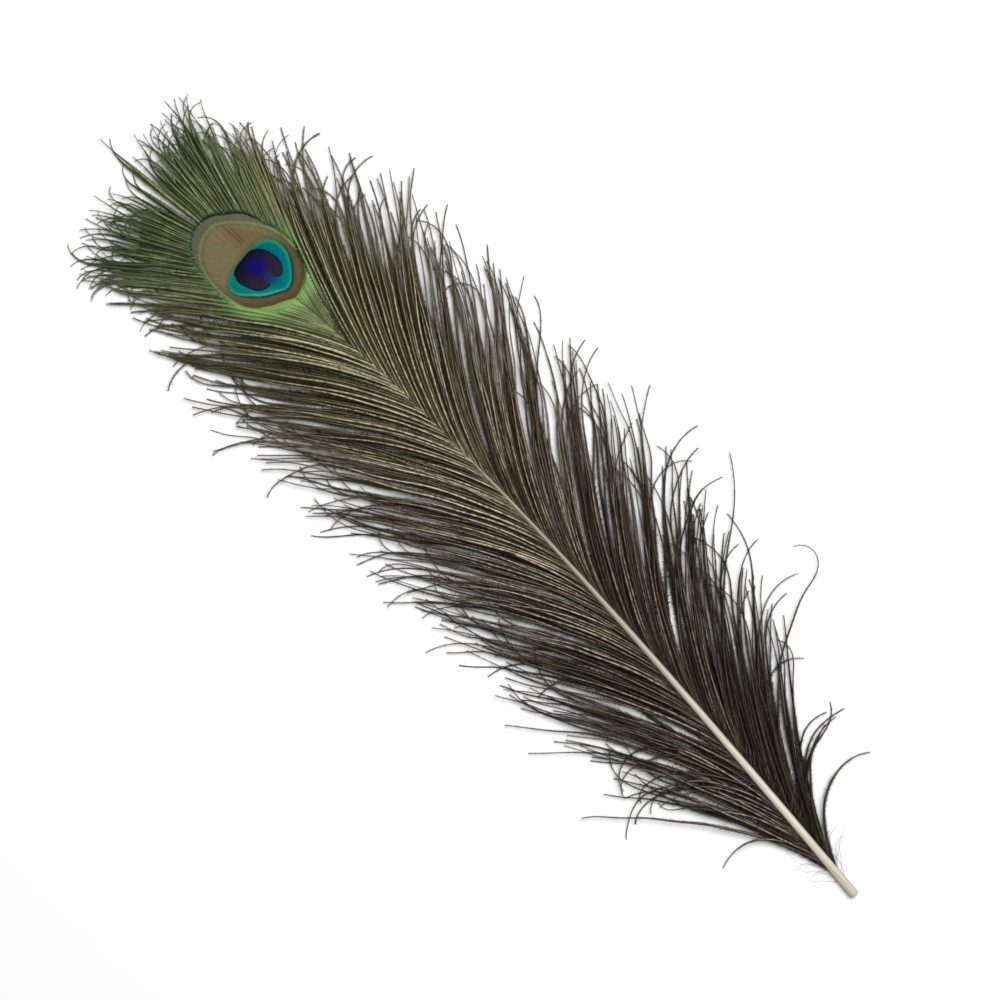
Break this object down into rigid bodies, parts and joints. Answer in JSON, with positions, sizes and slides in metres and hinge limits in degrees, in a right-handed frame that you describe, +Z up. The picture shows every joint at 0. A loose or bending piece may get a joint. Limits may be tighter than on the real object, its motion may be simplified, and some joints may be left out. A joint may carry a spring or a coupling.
{
  "type": "peacock feather",
  "caption": "Cut peacock eye feather lying flat: a bowed tapering shaft with loose barbs on both sides, a close-knit bronze and blue eye, and a fan of barb tips beyond it.",
  "frame": {"origin": "middle of the feather's footprint, on the surface it lies on", "axes": "+Y from the cut end towards the tip, +Z up from the surface with the coloured side up, +X to the right seen from above"},
  "size_m": [0.0964, 0.3008, 0.0038],
  "materials": {
    "barbs": "dark bronze-green keratin barbs, satin with a soft metallic sheen",
    "eye": "close-knit iridescent barbs in bronze, turquoise and dark blue rings",
    "quill": "ivory keratin, satin"
  },
  "bodies": {
    "root": {"peacock_feather": "barbs"}
  },
  "joints": []
}
